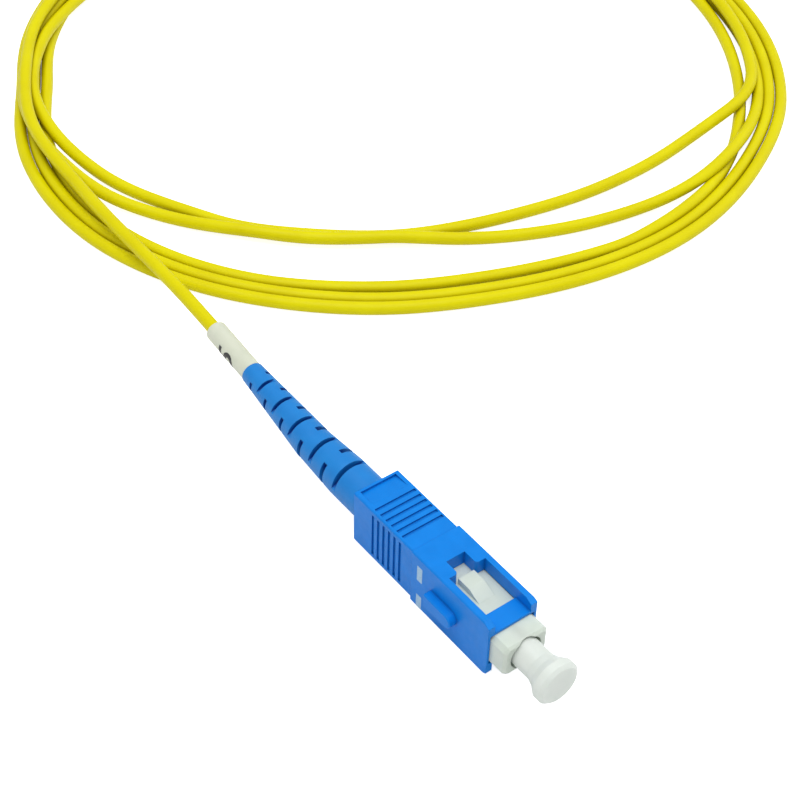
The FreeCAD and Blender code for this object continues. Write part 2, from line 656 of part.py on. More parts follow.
def make_cord_lead():
    """The lead from the boot's tip to where it joins the coil."""
    points = [BOOT_TIP, BOOT_TIP + TIP_HEADING * LEAD_FIRST_RUN]
    points += [V(*place) for place in LEAD_ROUTE]
    wire, radii = rounded_route(points)
    lead = round_sweep(wire, BOOT_TIP, TIP_HEADING, CORD_DIAMETER)
    expected = math.pi * CORD_DIAMETER ** 2 / 4 * wire.Length
    print("lead: length %.1f mm, arc radii %s mm, volume %.4f of section times length"
          % (wire.Length, ", ".join("%.0f" % radius for radius in radii), lead.Volume / expected))
    return lead


def coil_edge(mean_radius, fan):
    """Closed line of arcs round the coil; fan is how far it bows inwards near the plug."""
    points = []
    for index in range(2 * EDGE_ARCS):
        angle = 180.0 * index / EDGE_ARCS + COIL_WAVE_AT_DEG
        radius = mean_radius + COIL_WAVE * math.cos(math.radians(3 * (angle - COIL_WAVE_AT_DEG)))
        off = (angle - FAN_AT_DEG + 180.0) % 360.0 - 180.0
        if abs(off) < FAN_HALF_DEG:
            radius -= fan * math.cos(math.radians(90 * off / FAN_HALF_DEG)) ** 2
        points.append(V(COIL_CENTRE[0] + radius * math.cos(math.radians(angle)),
                        COIL_CENTRE[1] + radius * math.sin(math.radians(angle)), FLOOR))
    points.append(points[0])
    arcs = [Part.Arc(*points[k:k + 3]).toShape() for k in range(0, 2 * EDGE_ARCS, 2)]
    return Part.Wire(arcs)


def make_cord_coil():
    """The outer shape of the coiled lead, as one flat ring."""
    outer = Part.Face(coil_edge(COIL_MEAN_OUT, 0.0)).extrude(V(0, 0, COIL_HEIGHT))
    inner = Part.Face(coil_edge(COIL_MEAN_OUT - COIL_WIDTH, FAN_DEPTH)).extrude(V(0, 0, COIL_HEIGHT))
    return outer.cut(inner)


# ---- every piece ---------------------------------------------------------------------------
PIECES = {
    "grip_housing": make_grip_housing,
    "plug_frame": make_plug_frame,
    "ferrule": make_ferrule,
    "glass_fibre": make_glass_fibre,
    "ferrule_flange": make_ferrule_flange,
    "ferrule_spring": make_ferrule_spring,
    "stop_ring": make_stop_ring,
    "guide_tube": make_guide_tube,
    "aramid_yarn": make_aramid_yarn,
    "crimp_ring": make_crimp_ring,
    "tight_buffer": make_tight_buffer,
    "cable_jacket": make_cable_jacket,
    "boot": make_boot,
    "dust_cap": make_dust_cap,
    "marker_sleeve": make_marker_sleeve,
    "cord_lead": make_cord_lead,
    "cord_coil": make_cord_coil,
}


def main():
    os.makedirs("parts", exist_ok=True)
    for name, make in PIECES.items():
        shape = make()
        solids = shape.Solids
        if len(solids) == 1:
            shape = solids[0]
        box = shape.BoundBox
        print("%-16s solids %d valid %s volume %9.3f  x %.2f..%.2f y %.2f..%.2f z %.2f..%.2f"
              % (name, len(solids), shape.isValid(), shape.Volume, box.XMin, box.XMax,
                 box.YMin, box.YMax, box.ZMin, box.ZMax))
        shape.exportStep("parts/%s.step" % name)


main()
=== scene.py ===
"""Dresses the simplex fibre plug: surface finishes, printed marks and the coiled lead.

Every length is in metres unless its name ends in _mm, and every angle in radians unless its
name ends in _deg. The origin is on the optical axis, 0.6 mm behind the grip housing's front
edge, with +Y towards the lead and +Z up.
"""
from __future__ import annotations

import json
import logging
import math
from dataclasses import dataclass, field
from enum import Enum

import bpy
from mathutils import Matrix, Vector

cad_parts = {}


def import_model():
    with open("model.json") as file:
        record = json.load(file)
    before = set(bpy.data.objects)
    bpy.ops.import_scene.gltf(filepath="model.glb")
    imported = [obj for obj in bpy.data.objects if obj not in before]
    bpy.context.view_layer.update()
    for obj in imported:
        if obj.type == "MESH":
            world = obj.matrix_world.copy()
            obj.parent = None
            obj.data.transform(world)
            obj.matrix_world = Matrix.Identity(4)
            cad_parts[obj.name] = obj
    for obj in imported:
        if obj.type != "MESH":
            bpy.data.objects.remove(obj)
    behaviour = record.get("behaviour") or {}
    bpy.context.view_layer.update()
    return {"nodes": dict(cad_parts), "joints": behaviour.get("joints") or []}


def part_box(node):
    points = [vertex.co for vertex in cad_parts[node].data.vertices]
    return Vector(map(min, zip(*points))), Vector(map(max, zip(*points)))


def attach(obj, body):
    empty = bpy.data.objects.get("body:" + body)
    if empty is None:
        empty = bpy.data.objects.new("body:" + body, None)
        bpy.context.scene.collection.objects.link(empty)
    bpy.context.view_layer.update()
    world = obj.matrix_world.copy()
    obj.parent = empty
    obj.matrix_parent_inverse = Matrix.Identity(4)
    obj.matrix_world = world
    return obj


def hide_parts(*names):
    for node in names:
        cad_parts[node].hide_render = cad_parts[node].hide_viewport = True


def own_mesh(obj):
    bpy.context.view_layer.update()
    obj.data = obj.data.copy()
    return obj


LOG = logging.getLogger("fibre_plug")
MM = 0.001

# Where the floor, the key's face and the boot's bend and tip lie, along Z, X and Y.
FLOOR_MM = -4.5
KEY_FACE_MM = -3.7
BOOT_BEND_DEG = 4.2
BOOT_BEND_PLACE_MM = 39.77
BOOT_TIP_PLACE_MM = 56.0

WHITE = (1.0, 1.0, 1.0, 1.0)
OPENNESS_SAMPLES = 8
EDGE_SAMPLES = 6
# Sockets of the mixing nodes that share their names with others.
MIX_COLOURS_IN = (6, 7)
MIX_COLOUR_OUT = 2
MIX_SHADERS_IN = (1, 2)

Colour = tuple[float, float, float]
Point = tuple[float, float, float]
Span = tuple[float, float]
Station = tuple[float, float]


class Body(Enum):
    """The rigid bodies that the new pieces ride on."""

    CORE = "core"
    GRIP = "grip"


def srgb(red: int, green: int, blue: int) -> Colour:
    """Turns a display colour into the linear values that shaders take.

    Args:
        red: Display value from 0 to 255.
        green: Display value from 0 to 255.
        blue: Display value from 0 to 255.

    Returns:
        The linear red, green and blue.
    """
    def linear(value: int) -> float:
        """One channel, from display to linear."""
        share = value / 255
        return share / 12.92 if share <= 0.04045 else ((share + 0.055) / 1.055) ** 2.4

    return linear(red), linear(green), linear(blue)


# ---- shader building ------------------------------------------------------------------------
class ShaderBench:
    """Adds and links the nodes of one material."""

    def __init__(self, name: str) -> None:
        """Starts an empty material with a principled surface.

        Args:
            name: The material's name.
        """
        self.material = bpy.data.materials.new(name)
        self.material.use_nodes = True
        self.tree = self.material.node_tree
        self.tree.nodes.clear()
        self.output = self.add("ShaderNodeOutputMaterial")
        self.surface = self.add("ShaderNodeBsdfPrincipled")
        self.link(self.surface.outputs["BSDF"], self.output.inputs["Surface"])
        self.place = self.add("ShaderNodeTexCoord").outputs["Object"]

    def add(self, kind: str, **settings: object) -> bpy.types.ShaderNode:
        """Adds a node.

        Args:
            kind: The node's type name.
            **settings: Properties to set on the node itself.

        Returns:
            The new node.
        """
        node = self.tree.nodes.new(kind)
        for name, value in settings.items():
            setattr(node, name, value)
        return node

    def link(self, source: bpy.types.NodeSocket, target: bpy.types.NodeSocket) -> None:
        """Joins an output to an input."""
        self.tree.links.new(source, target)

    def stretched(self, scale: Point) -> bpy.types.NodeSocket:
        """Gives the object's coordinates, scaled along each axis.

        Args:
            scale: The factor along X, Y and Z.

        Returns:
            The scaled coordinates.
        """
        mapping = self.add("ShaderNodeMapping")
        mapping.inputs["Scale"].default_value = scale
        self.link(self.place, mapping.inputs["Vector"])
        return mapping.outputs["Vector"]

    def noise(self, grain_mm: float, detail: float = 3.0,
              coordinates: bpy.types.NodeSocket | None = None) -> bpy.types.NodeSocket:
        """Adds a noise pattern.

        Args:
            grain_mm: The rough size of one grain.
            detail: How many finer layers lie on top.
            coordinates: What the pattern follows, the object's own coordinates if left out.

        Returns:
            The pattern's value, about 0.5 on average.
        """
        node = self.add("ShaderNodeTexNoise")
        node.inputs["Scale"].default_value = 1 / (grain_mm * MM)
        node.inputs["Detail"].default_value = detail
        self.link(coordinates or self.place, node.inputs["Vector"])
        return node.outputs["Fac"]

    def ranged(self, value: bpy.types.NodeSocket, low: float, high: float,
               from_low: float = 0.3, from_high: float = 0.7) -> bpy.types.NodeSocket:
        """Maps a pattern on to a range.

        Args:
            value: The pattern.
            low: What the pattern's low end becomes.
            high: What the pattern's high end becomes.
            from_low: The pattern's low end.
            from_high: The pattern's high end.

        Returns:
            The mapped value.
        """
        node = self.add("ShaderNodeMapRange")
        node.inputs["From Min"].default_value = from_low
        node.inputs["From Max"].default_value = from_high
        node.inputs["To Min"].default_value = low
        node.inputs["To Max"].default_value = high
        self.link(value, node.inputs["Value"])
        return node.outputs["Result"]

    def mixed(self, share: bpy.types.NodeSocket, first: Colour | bpy.types.NodeSocket,
              second: Colour | bpy.types.NodeSocket) -> bpy.types.NodeSocket:
        """Mixes two colours.

        Args:
            share: How much of the second colour shows.
            first: The colour at 0.
            second: The colour at 1.

        Returns:
            The mixed colour.
        """
        node = self.add("ShaderNodeMix", data_type="RGBA")
        self.link(share, node.inputs["Factor"])
        for index, colour in zip(MIX_COLOURS_IN, (first, second)):
            if isinstance(colour, bpy.types.NodeSocket):
                self.link(colour, node.inputs[index])
            else:
                node.inputs[index].default_value = (*colour, 1.0)
        return node.outputs[MIX_COLOUR_OUT]

    def openness(self, reach_mm: float) -> bpy.types.NodeSocket:
        """Gives how open the surface is to the air round it.

        Args:
            reach_mm: How far away a wall still counts.

        Returns:
            1 on an open face, less in a groove or an inner corner.
        """
        node = self.add("ShaderNodeAmbientOcclusion", samples=OPENNESS_SAMPLES,
                        only_local=True)
        node.inputs["Distance"].default_value = reach_mm * MM
        return node.outputs["AO"]

    def drive(self, name: str, value: bpy.types.NodeSocket) -> None:
        """Lets a pattern set one socket of the principled surface."""
        self.link(value, self.surface.inputs[name])

    def paint_groove_shade(self, body: bpy.types.NodeSocket, painted_shade: Colour, reach_mm: float,
                      share: float, openness: Span) -> None:
        """Sets the surface's colour, with painted shade where the surface is closed in.

        Args:
            body: The colour of an open face.
            painted_shade: The painted shade colour towards which grooves and inner corners turn.
            reach_mm: How far away a wall still counts.
            share: How much of the painted shade shows where the surface is closed.
            openness: How open the surface is where it counts as closed, and as open.
        """
        closed = self.ranged(self.openness(reach_mm), share, 0.0, *openness)
        self.drive("Base Color", self.mixed(closed, body, painted_shade))

    def roughen(self, pattern: bpy.types.NodeSocket, roughness: float, spread: Span) -> None:
        """Lets a pattern move the roughness.

        Args:
            pattern: The pattern.
            roughness: The roughness to move round.
            spread: How far below and above it the pattern's ends lie.
        """
        low, high = spread
        self.drive("Roughness", self.ranged(pattern, roughness + low, roughness + high))

    def relief(self, height: bpy.types.NodeSocket, depth_mm: float,
               edge_mm: float = 0.0) -> None:
        """Gives the surface fine relief, and softens its edges.

        Args:
            height: The relief's pattern.
            depth_mm: The relief's depth.
            edge_mm: The radius that edges seem to have, or 0 for none.
        """
        bump = self.add("ShaderNodeBump")
        bump.inputs["Distance"].default_value = depth_mm * MM
        self.link(height, bump.inputs["Height"])
        if edge_mm:
            bevel = self.add("ShaderNodeBevel", samples=EDGE_SAMPLES)
            bevel.inputs["Radius"].default_value = edge_mm * MM
            self.link(bevel.outputs["Normal"], bump.inputs["Normal"])
        self.drive("Normal", bump.outputs["Normal"])

    def fixed(self, **values: float | Colour) -> None:
        """Sets sockets of the principled surface, named with underscores for spaces."""
        for name, value in values.items():
            self.surface.inputs[name.replace("_", " ")].default_value = value


@dataclass(frozen=True)
class Moulded:
    """A moulded plastic or rubber: slight colour drift, fine skin, and painted shade in its
    grooves.
    """

    name: str
    colour: Colour
    drift: Colour
    # Painted shade, laid where the surface is closed in.
    painted_shade: Colour
    drift_mm: float = 2.4
    specular: float = 0.5
    roughness: float = 0.38
    gloss_mm: float = 0.9
    gloss_spread: Span = (-0.05, 0.07)
    skin_mm: float = 0.05
    skin_depth_mm: float = 0.0015
    edge_mm: float = 0.08
    shade_reach_mm: float = 0.7
    shade_share: float = 0.8
    openness: Span = (0.35, 0.85)
    glow: float = 0.0
    glow_reach_mm: float = 1.0

    def build(self) -> bpy.types.Material:
        """Makes the material."""
        bench = ShaderBench(self.name)
        patchy = bench.ranged(bench.noise(self.drift_mm), 0.0, 1.0)
        # Painted shade: the colour turns towards the painted shade colour where ambient occlusion
        # finds grooves and inner corners.
        bench.paint_groove_shade(bench.mixed(patchy, self.colour, self.drift), self.painted_shade,
                            self.shade_reach_mm, self.shade_share, self.openness)
        bench.roughen(bench.noise(self.gloss_mm), self.roughness, self.gloss_spread)
        bench.relief(bench.noise(self.skin_mm, detail=2.0), self.skin_depth_mm, self.edge_mm)
        bench.fixed(Specular_IOR_Level=self.specular)
        if self.glow:
            reach = self.glow_reach_mm * MM
            bench.fixed(Subsurface_Weight=self.glow, Subsurface_Radius=(reach,) * 3,
                        Subsurface_Scale=1.0)
        return bench.material


@dataclass(frozen=True)
class Sheath:
    """The lead's jacket: smooth extruded plastic with slow waves and fine scuffs, and painted
    shade between turns and along the floor.
    """

    name: str
    colour: Colour
    drift: Colour
    # Painted shade, laid between turns and along the floor.
    painted_shade: Colour
    wave_mm: float = 7.0
    scuff_mm: float = 0.35
    scuff_share: float = 0.25
    shade_reach_mm: float = 1.6
    shade_share: float = 0.6
    openness: Span = (0.3, 0.8)
    specular: float = 0.12
    roughness: float = 0.42
    gloss_mm: float = 0.8
    gloss_spread: Span = (-0.06, 0.08)
    skin_mm: float = 0.5
    skin_depth_mm: float = 0.006

    def build(self) -> bpy.types.Material:
        """Makes the material."""
        bench = ShaderBench(self.name)
        slow = bench.ranged(bench.noise(self.wave_mm), 0.0, 1.0)
        fine = bench.ranged(bench.noise(self.scuff_mm, detail=4.0), 0.0, self.scuff_share)
        waves = bench.mixed(slow, self.colour, self.drift)
        # Painted shade: the jacket turns darker where it lies close to other turns and to the
        # floor.
        bench.paint_groove_shade(bench.mixed(fine, waves, self.drift), self.painted_shade,
                            self.shade_reach_mm, self.shade_share, self.openness)
        bench.roughen(bench.noise(self.gloss_mm), self.roughness, self.gloss_spread)
        bench.relief(bench.noise(self.skin_mm), self.skin_depth_mm)
        bench.fixed(Specular_IOR_Level=self.specular)
        return bench.material


@dataclass(frozen=True)
class Turned:
    """A turned or drawn metal: bright, with fine rings across the axis."""

    name: str
    colour: Colour
    tarnish: Colour
    stain_mm: float = 1.6
    stain_share: float = 0.6
    roughness: float = 0.28
    gloss_spread: Span = (-0.08, 0.1)
    ring_mm: float = 0.08
    ring_stretch: Point = (0.05, 1.0, 0.05)
    ring_depth_mm: float = 0.003
    edge_mm: float = 0.05

    def build(self) -> bpy.types.Material:
        """Makes the material."""
        bench = ShaderBench(self.name)
        stain = bench.ranged(bench.noise(self.stain_mm), 0.0, self.stain_share)
        bench.drive("Base Color", bench.mixed(stain, self.colour, self.tarnish))
        rings = bench.noise(self.ring_mm, detail=2.0,
                            coordinates=bench.stretched(self.ring_stretch))
        bench.roughen(rings, self.roughness, self.gloss_spread)
        bench.relief(rings, self.ring_depth_mm, self.edge_mm)
        bench.fixed(Metallic=1.0)
        return bench.material


@dataclass(frozen=True)
class Strands:
    """Loose yarn laid along the axis."""

    name: str
    colour: Colour
    shade: Colour
    strand_mm: float = 0.12
    strand_stretch: Point = (1.0, 0.06, 1.0)
    strand_depth_mm: float = 0.05
    roughness: float = 0.62
    sheen: float = 0.3

    def build(self) -> bpy.types.Material:
        """Makes the material."""
        bench = ShaderBench(self.name)
        lines = bench.noise(self.strand_mm, coordinates=bench.stretched(self.strand_stretch))
        bench.drive("Base Color",
                    bench.mixed(bench.ranged(lines, 0.0, 1.0), self.shade, self.colour))
        bench.relief(lines, self.strand_depth_mm)
        bench.fixed(Roughness=self.roughness, Sheen_Weight=self.sheen)
        return bench.material


@dataclass(frozen=True)
class ClearGlass:
    """The drawn silica of the fibre."""

    name: str
    colour: Colour
    roughness: float = 0.04
    gloss_mm: float = 0.3
    gloss_spread: Span = (-0.02, 0.02)
    clearness: float = 0.9
    refraction: float = 1.46

    def build(self) -> bpy.types.Material:
        """Makes the material."""
        bench = ShaderBench(self.name)
        bench.roughen(bench.noise(self.gloss_mm), self.roughness, self.gloss_spread)
        bench.fixed(Base_Color=(*self.colour, 1.0), Transmission_Weight=self.clearness,
                    IOR=self.refraction)
        return bench.material


@dataclass(frozen=True)
class Ink:
    """A printed mark with a slightly uneven coat."""

    name: str
    colour: Colour
    worn: Colour
    wear_mm: float = 0.25
    wear_from: Span = (0.45, 0.75)
    coat_mm: float = 0.06
    coat_depth_mm: float = 0.002
    roughness: float = 0.5

    def build(self) -> bpy.types.Material:
        """Makes the material."""
        bench = ShaderBench(self.name)
        patchy = bench.ranged(bench.noise(self.wear_mm, detail=4.0), 0.0, 1.0, *self.wear_from)
        bench.drive("Base Color", bench.mixed(patchy, self.colour, self.worn))
        bench.relief(bench.noise(self.coat_mm), self.coat_depth_mm)
        bench.fixed(Roughness=self.roughness)
        return bench.material


Finish = Moulded | Sheath | Turned | Strands | ClearGlass | Ink

# The third colour of each moulded finish and of the jacket is painted shade for grooves, recesses
# and inner corners.
HOUSING_BLUE = Moulded("housing_blue", srgb(4, 127, 221), srgb(2, 121, 213), srgb(0, 84, 170),
                       specular=0.2)
BOOT_BLUE = Moulded("boot_blue", srgb(18, 127, 206), srgb(14, 121, 200), srgb(0, 58, 146),
                    specular=0.35, roughness=0.46, skin_mm=0.08, edge_mm=0.12,
                    shade_reach_mm=0.9, shade_share=1.0)
FRAME_WHITE = Moulded("frame_white", srgb(206, 215, 205), srgb(200, 210, 199),
                      srgb(170, 178, 170), roughness=0.34, shade_share=0.3, glow=0.25)
CAP_CLOUDY = Moulded("cap_cloudy", srgb(216, 222, 216), srgb(211, 218, 212),
                     srgb(190, 198, 192), roughness=0.34, shade_share=0.2, glow=0.5,
                     glow_reach_mm=1.6)
SLEEVE_WHITE = Moulded("sleeve_white", srgb(212, 215, 197), srgb(204, 209, 190),
                       srgb(170, 178, 160), roughness=0.4, shade_share=0.4, glow=0.2)
BUFFER_WHITE = Moulded("buffer_white", srgb(238, 238, 232), srgb(228, 230, 222),
                       srgb(180, 184, 176), shade_share=0.2)
TUBE_NATURAL = Moulded("tube_natural", srgb(226, 226, 216), srgb(214, 216, 204),
                       srgb(170, 170, 160), shade_share=0.2, glow=0.3)
ZIRCONIA = Moulded("zirconia", srgb(244, 244, 240), srgb(238, 238, 232), srgb(200, 200, 192),
                   roughness=0.14, skin_depth_mm=0.0003, edge_mm=0.04, shade_share=0.2, glow=0.1)
JACKET_YELLOW = Sheath("jacket_yellow", srgb(220, 212, 0), srgb(212, 201, 0), srgb(166, 148, 0))
NICKEL = Turned("nickel", srgb(214, 210, 198), srgb(186, 180, 164))
SPRING_WIRE = Turned("spring_wire", srgb(196, 198, 202), srgb(158, 160, 166), roughness=0.34)
CRIMP_METAL = Turned("crimp_metal", srgb(214, 184, 118), srgb(178, 142, 84), roughness=0.32)
ARAMID = Strands("aramid", srgb(232, 206, 110), srgb(186, 152, 62))
FIBRE_GLASS = ClearGlass("fibre_glass", srgb(244, 250, 255))
INK_WHITE = Ink("ink_white", srgb(166, 198, 222), srgb(132, 178, 214))
INK_BLACK = Ink("ink_black", srgb(26, 26, 28), srgb(64, 64, 62))


# ---- mesh helpers ---------------------------------------------------------------------------
def deselect() -> None:
    """Leaves nothing selected, and object mode on."""
    if bpy.context.object and bpy.context.object.mode != "OBJECT":
        bpy.ops.object.mode_set(mode="OBJECT")
    bpy.ops.object.select_all(action="DESELECT")


def pick(piece: bpy.types.Object) -> None:
    """Makes one object the selected and active one."""
    deselect()
    piece.select_set(True)
    bpy.context.view_layer.objects.active = piece


def settle(piece: bpy.types.Object) -> None:
    """Moves an object's place, turn and scale into its mesh."""
    pick(piece)
    bpy.ops.object.transform_apply(location=True, rotation=True, scale=True)


def dress(piece: bpy.types.Object, material: bpy.types.Material) -> None:
    """Gives an object one material on its own slot, leaving its mesh alone."""
    if not piece.material_slots:
        pick(piece)
        bpy.ops.object.material_slot_add()
    for material_slot in piece.material_slots:
        material_slot.link = "OBJECT"
        material_slot.material = material


# ---- the plug -------------------------------------------------------------------------------
@dataclass
class PlugFinishes:
    """The finish of every carried-over piece of the plug."""

    finishes: dict[str, Finish] = field(default_factory=lambda: {
        "grip_housing": HOUSING_BLUE,
        "plug_frame": FRAME_WHITE,
        "ferrule": ZIRCONIA,
        "glass_fibre": FIBRE_GLASS,
        "ferrule_flange": NICKEL,
        "stop_ring": NICKEL,
        "guide_tube": TUBE_NATURAL,
        "aramid_yarn": ARAMID,
        "crimp_ring": CRIMP_METAL,
        "tight_buffer": BUFFER_WHITE,
        "cable_jacket": JACKET_YELLOW,
        "boot": BOOT_BLUE,
        "dust_cap": CAP_CLOUDY,
        "marker_sleeve": SLEEVE_WHITE,
    })
    made: dict[str, bpy.types.Material] = field(default_factory=dict)

    def material(self, finish: Finish) -> bpy.types.Material:
        """Builds a finish once.

        Args:
            finish: The finish that is wanted.

        Returns:
            Its material, shared by every piece that has the finish.
        """
        if finish.name not in self.made:
            self.made[finish.name] = finish.build()
        return self.made[finish.name]

    def apply(self, nodes: dict[str, bpy.types.Object]) -> None:
        """Dresses the carried-over pieces.

        Args:
            nodes: The pieces by name.
        """
        for name, finish in self.finishes.items():
            dress(nodes[name], self.material(finish))
            LOG.info("dressed %s in %s", name, finish.name)


@dataclass
class FloatSpring:
    """The ferrule's spring in round wire."""

    wire_mm: float = 0.42
    coil_mm: float = 3.3
    turns: float = 4.0
    seat_gap_mm: float = 0.02
    wire_sides: int = 12
    steps_a_turn: int = 36
    smooth_deg: float = 40.0

    def build(self, box: tuple[Vector, Vector], travel: float,
              finish: bpy.types.Material) -> bpy.types.Object:
        """Makes the spring.

        Args:
            box: The lowest and highest corner that the spring fills at rest.
            travel: How far the ferrule can be pushed back, in metres; not used.
            finish: The wire's material.

        Returns:
            The spring, on the core body.
        """
        deselect()
        front, back = box[0].y, box[1].y
        wire = self.wire_mm / 2 * MM
        bpy.ops.mesh.primitive_circle_add(vertices=self.wire_sides, radius=wire,
                                          location=(self.coil_mm / 2 * MM, 0.0, 0.0),
                                          rotation=(math.pi / 2, 0.0, 0.0))
        spring = bpy.context.object
        spring.name = "float_spring"
        settle(spring)
        coil = spring.modifiers.new("coil", "SCREW")
        coil.angle = 2 * math.pi * self.turns
        coil.screw_offset = back - front - 2 * wire
        coil.steps = coil.render_steps = round(self.steps_a_turn * self.turns)
        bpy.ops.object.modifier_apply(modifier="coil")
        spring.rotation_euler = (-math.pi / 2, 0.0, 0.0)
        spring.location = (0.0, front + wire, 0.0)
        settle(spring)
        self._close(spring)
        dress(spring, finish)
        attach(spring, Body.CORE.value)
        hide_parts("ferrule_spring")
        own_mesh(spring)
        LOG.info("made %s", spring.name)
        return spring

    def _close(self, spring: bpy.types.Object) -> None:
        """Closes the wire's two cut ends, and smooths the wire between them."""
        pick(spring)
        bpy.ops.object.mode_set(mode="EDIT")
        bpy.ops.mesh.select_all(action="SELECT")
        bpy.ops.mesh.fill_holes(sides=self.wire_sides)
        bpy.ops.mesh.select_all(action="SELECT")
        bpy.ops.mesh.normals_make_consistent(inside=False)
        bpy.ops.object.mode_set(mode="OBJECT")
        bpy.ops.object.shade_smooth_by_angle(angle=math.radians(self.smooth_deg))


@dataclass
class KeyFaceStripes:
    """Two white printed stripes across the key's face, behind the key."""

    start_mm: float = 11.95
    width_mm: float = 1.0
    coat_mm: float = 0.015
    sunk_mm: float = 0.01
    corner_mm: float = 0.12
    corner_steps: int = 4
    spans_mm: tuple[Span, ...] = ((0.45, 3.0), (-4.3, -2.1))

    def build(self, face_x: float, finish: bpy.types.Material) -> list[bpy.types.Object]:
        """Makes the stripes as thin rounded coats of ink.

        Args:
            face_x: Where the key's face lies, in metres.
            finish: The ink.

        Returns:
            The stripes.
        """
        return [self._stripe(index, face_x, span, finish)
                for index, span in enumerate(self.spans_mm, start=1)]

    def _stripe(self, index: int, face_x: float, span: Span,
                finish: bpy.types.Material) -> bpy.types.Object:
        """Makes one stripe.

        Args:
            index: The stripe's number, for its name.
            face_x: Where the key's face lies, in metres.
            span: The stripe's lowest and highest point, in millimetres.
            finish: The ink.

        Returns:
            The stripe.
        """
        deselect()
        low, high = span
        centre = (face_x, (self.start_mm + self.width_mm / 2) * MM, (low + high) / 2 * MM)
        bpy.ops.mesh.primitive_plane_add(size=1.0, location=centre,
                                         rotation=(0.0, -math.pi / 2, 0.0))
        stripe = bpy.context.object
        stripe.name = f"key_face_stripe_{index}"
        stripe.scale = ((high - low) * MM, self.width_mm * MM, 1.0)
        settle(stripe)
        bpy.ops.object.mode_set(mode="EDIT")
        bpy.ops.mesh.select_all(action="SELECT")
        bpy.ops.mesh.bevel(offset=self.corner_mm * MM, segments=self.corner_steps,
                           affect="VERTICES")
        bpy.ops.object.mode_set(mode="OBJECT")
        coat = stripe.modifiers.new("coat", "SOLIDIFY")
        coat.thickness = (self.coat_mm + self.sunk_mm) * MM
        coat.offset = 2 * self.coat_mm / (self.coat_mm + self.sunk_mm) - 1
        bpy.ops.object.modifier_apply(modifier="coat")
        dress(stripe, finish)
        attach(stripe, Body.GRIP.value)
        LOG.info("made %s", stripe.name)
        return stripe


@dataclass
class SleeveDigit:
    """A plain number printed on the marker sleeve, wrapped round it."""

    digit: str = "5"
    height_mm: float = 3.6
    height_a_size: float = 0.7
    bolder_share: float = 0.03
    along_mm: float = 4.7
    round_deg: float = 186.0
    radius_mm: float = 1.55
    coat_mm: float = 0.02
    grid_mm: float = 0.06

    def build(self, start: Vector, heading: Vector, finish: bpy.types.Material
              ) -> bpy.types.Object:
        """Makes the digit.

        Args:
            start: Where the sleeve's axis begins.
            heading: The sleeve's direction.
            finish: The ink.

        Returns:
            The digit as a thin coat on the sleeve.
        """
        deselect()
        bpy.ops.object.text_add(location=(0.0, 0.0, 0.0))
        text = bpy.context.object
        text.name = "sleeve_digit"
        text.data.body = self.digit
        text.data.size = self.height_mm * MM / self.height_a_size
        text.data.align_x = "CENTER"
        text.data.align_y = "CENTER"
        text.data.offset = self.bolder_share * self.height_mm * MM
        text.data.extrude = self.grid_mm * MM
        bpy.ops.object.convert(target="MESH")
        digit = bpy.context.object
        settle(digit)
        even = digit.modifiers.new("even", "REMESH")
        even.mode = "VOXEL"
        even.voxel_size = self.grid_mm * MM
        bpy.ops.object.modifier_apply(modifier="even")
        self._wrap(digit, start, heading)
        dress(digit, finish)
        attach(digit, Body.CORE.value)
        LOG.info("made %s", digit.name)
        return digit

    def _wrap(self, digit: bpy.types.Object, start: Vector, heading: Vector) -> None:
        """Bends the flat digit round the sleeve.

        Args:
            digit: The flat digit, standing in its own XY plane.
            start: Where the sleeve's axis begins.
            heading: The sleeve's direction.
        """
        side = heading.cross(Vector((0.0, 0.0, 1.0))).normalized()
        up = side.cross(heading).normalized()
        depth = max(abs(vertex.co.z) for vertex in digit.data.vertices)
        for vertex in digit.data.vertices:
            across, along = vertex.co.xy
            angle = math.radians(self.round_deg) - across / (self.radius_mm * MM)
            share = (vertex.co.z / depth + 1) / 2
            radius = (self.radius_mm + (2 * share - 1) * self.coat_mm) * MM
            vertex.co = (start + heading * (self.along_mm * MM + along)
                         + side * (radius * math.cos(angle)) + up * (radius * math.sin(angle)))


# ---- the lead -------------------------------------------------------------------------------
def through(stations: tuple[Station, ...], place: float) -> float:
    """The value at a place on a smooth line through stations.

    Args:
        stations: Places and their values, in order.
        place: The place to read.

    Returns:
        The value there, held level outside the first and last stations.
    """
    if not stations[0][0] < place < stations[-1][0]:
        return stations[0][1] if place <= stations[0][0] else stations[-1][1]
    after = next(index for index, station in enumerate(stations) if station[0] > place)
    before = after - 1
    slopes = []
    for index in (before, after):
        first, last = stations[max(index - 1, 0)], stations[min(index + 1, len(stations) - 1)]
        slopes.append((last[1] - first[1]) / (last[0] - first[0]))
    (start, low), (end, high) = stations[before], stations[after]
    span = end - start
    share = (place - start) / span
    eased = share * share * (3 - 2 * share)
    return (low + (high - low) * eased + span * share * (1 - share)
            * (slopes[0] * (1 - share) - slopes[1] * share))


